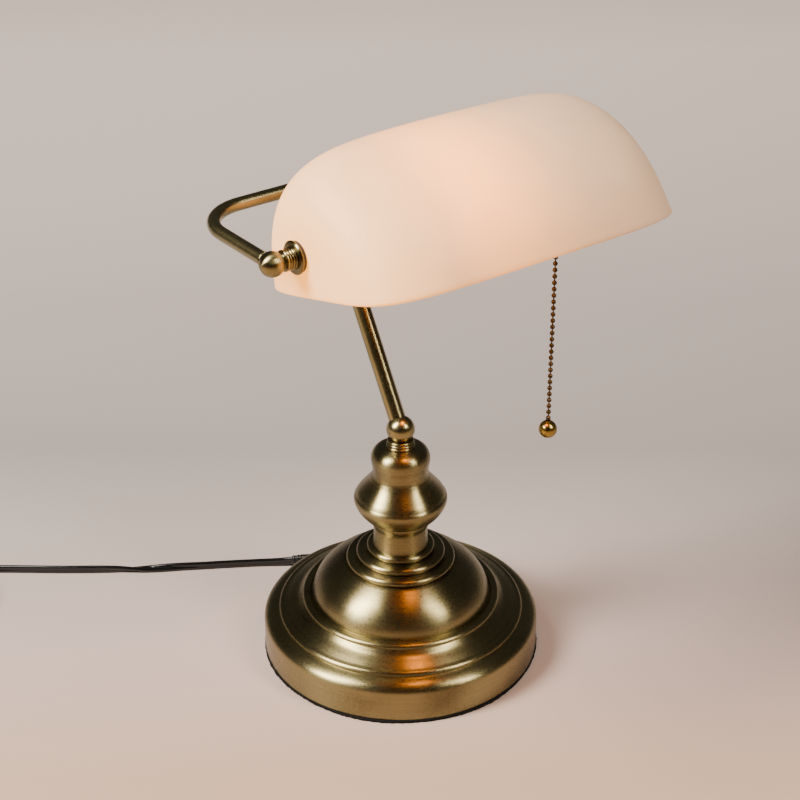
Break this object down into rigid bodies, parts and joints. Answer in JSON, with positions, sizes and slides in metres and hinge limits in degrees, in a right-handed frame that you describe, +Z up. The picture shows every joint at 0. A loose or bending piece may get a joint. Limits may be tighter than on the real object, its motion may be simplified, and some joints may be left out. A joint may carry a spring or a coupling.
{
  "type": "banker desk lamp",
  "caption": "Desk lamp with a weighted round base, turned column, bent stem, and a yoke that holds a tilting oblong opal glass shade with a bulb socket, pull chain and mains cord.",
  "frame": {"origin": "centre of the base on the table", "axes": "+Z up through the column, -Y towards the user, +X to the user's right along the shade"},
  "size_m": [0.4326, 0.415, 0.3928],
  "materials": {
    "aged_brass": "satin, brushed around, aged brown in the hollows",
    "steel_plated": "zinc plated",
    "cast_weight": "rough cast",
    "foam_pad": "matt foam rubber",
    "black_cord": "satin PVC",
    "black_washer": "matt rubber",
    "opal_glass": "opal, satin outside",
    "bulb_glass": "frosted",
    "lamp_brass": "bright drawn brass",
    "liner_card": "fibre card",
    "switch_block": "glazed",
    "chain_bronze": "dark bronze beads",
    "pull_brass": "polished",
    "plug_black": "moulded"
  },
  "bodies": {
    "stand": {"base_pad": "foam_pad", "bottom_plate": "steel_plated", "base_weight": "cast_weight", "base_shell": "aged_brass", "base_dome": "aged_brass", "spacer_tube": "steel_plated", "collar_large": "aged_brass", "collar_medium": "aged_brass", "collar_small": "aged_brass", "column_neck": "aged_brass", "column_vase": "aged_brass", "column_cap": "aged_brass", "neck_rings": "aged_brass", "stem_ball": "aged_brass", "center_rod": "steel_plated", "rod_washer": "steel_plated", "rod_nut": "steel_plated", "stem_tube": "aged_brass", "yoke_hub": "aged_brass", "yoke_arm_left": "aged_brass", "yoke_arm_right": "aged_brass", "knob_left": "aged_brass", "knob_right": "aged_brass", "inner_lead": "black_cord", "cord_gland": "black_cord", "cord_boot": "black_cord", "cord_run": "black_cord", "cord_coil": "black_cord", "cord_tail": "black_cord", "cord_tie": "foam_pad", "plug_body": "plug_black", "plug_pins": "lamp_brass"},
    "shade_head": {"glass_shade": "opal_glass", "flange_left": "aged_brass", "flange_right": "aged_brass", "outer_washers": "black_washer", "inner_washers": "black_washer", "steel_washers": "steel_plated", "pivot_screw": "steel_plated", "pivot_nut": "steel_plated", "hollow_nipple": "steel_plated", "nipple_nut": "steel_plated", "socket_cap": "lamp_brass", "socket_shell": "lamp_brass", "socket_liner": "liner_card", "screw_sleeve": "lamp_brass", "center_contact": "lamp_brass", "pull_switch": "switch_block", "bulb_cap": "steel_plated", "bulb_globe": "bulb_glass"},
    "switch_stem": {"pull_stem": "lamp_brass"},
    "eye_ring": {"chain_eye": "lamp_brass"},
    "chain": {"pull_chain": "chain_bronze", "pull_ball": "pull_brass"}
  },
  "joints": [
    {"name": "shade_tilt", "type": "hinge", "parent": "stand", "child": "shade_head", "pos_m": [0, -0.057, 0.3384], "axis": [1, 0, 0], "range_deg": [-40, 20]},
    {"name": "chain_pull", "type": "slide", "parent": "shade_head", "child": "switch_stem", "axis": [0, 0, -1], "range_m": [0, 0.008], "stiffness_N_per_m": 250, "springref_m": -0.002},
    {"name": "eye_sway", "type": "hinge", "parent": "switch_stem", "child": "eye_ring", "pos_m": [0.076, -0.057, 0.3091], "axis": [0, 1, 0], "range_deg": [-20, 20]},
    {"name": "chain_swing", "type": "hinge", "parent": "eye_ring", "child": "chain", "pos_m": [0.076, -0.057, 0.3068], "axis": [1, 0, 0], "range_deg": [-20, 20]}
  ]
}
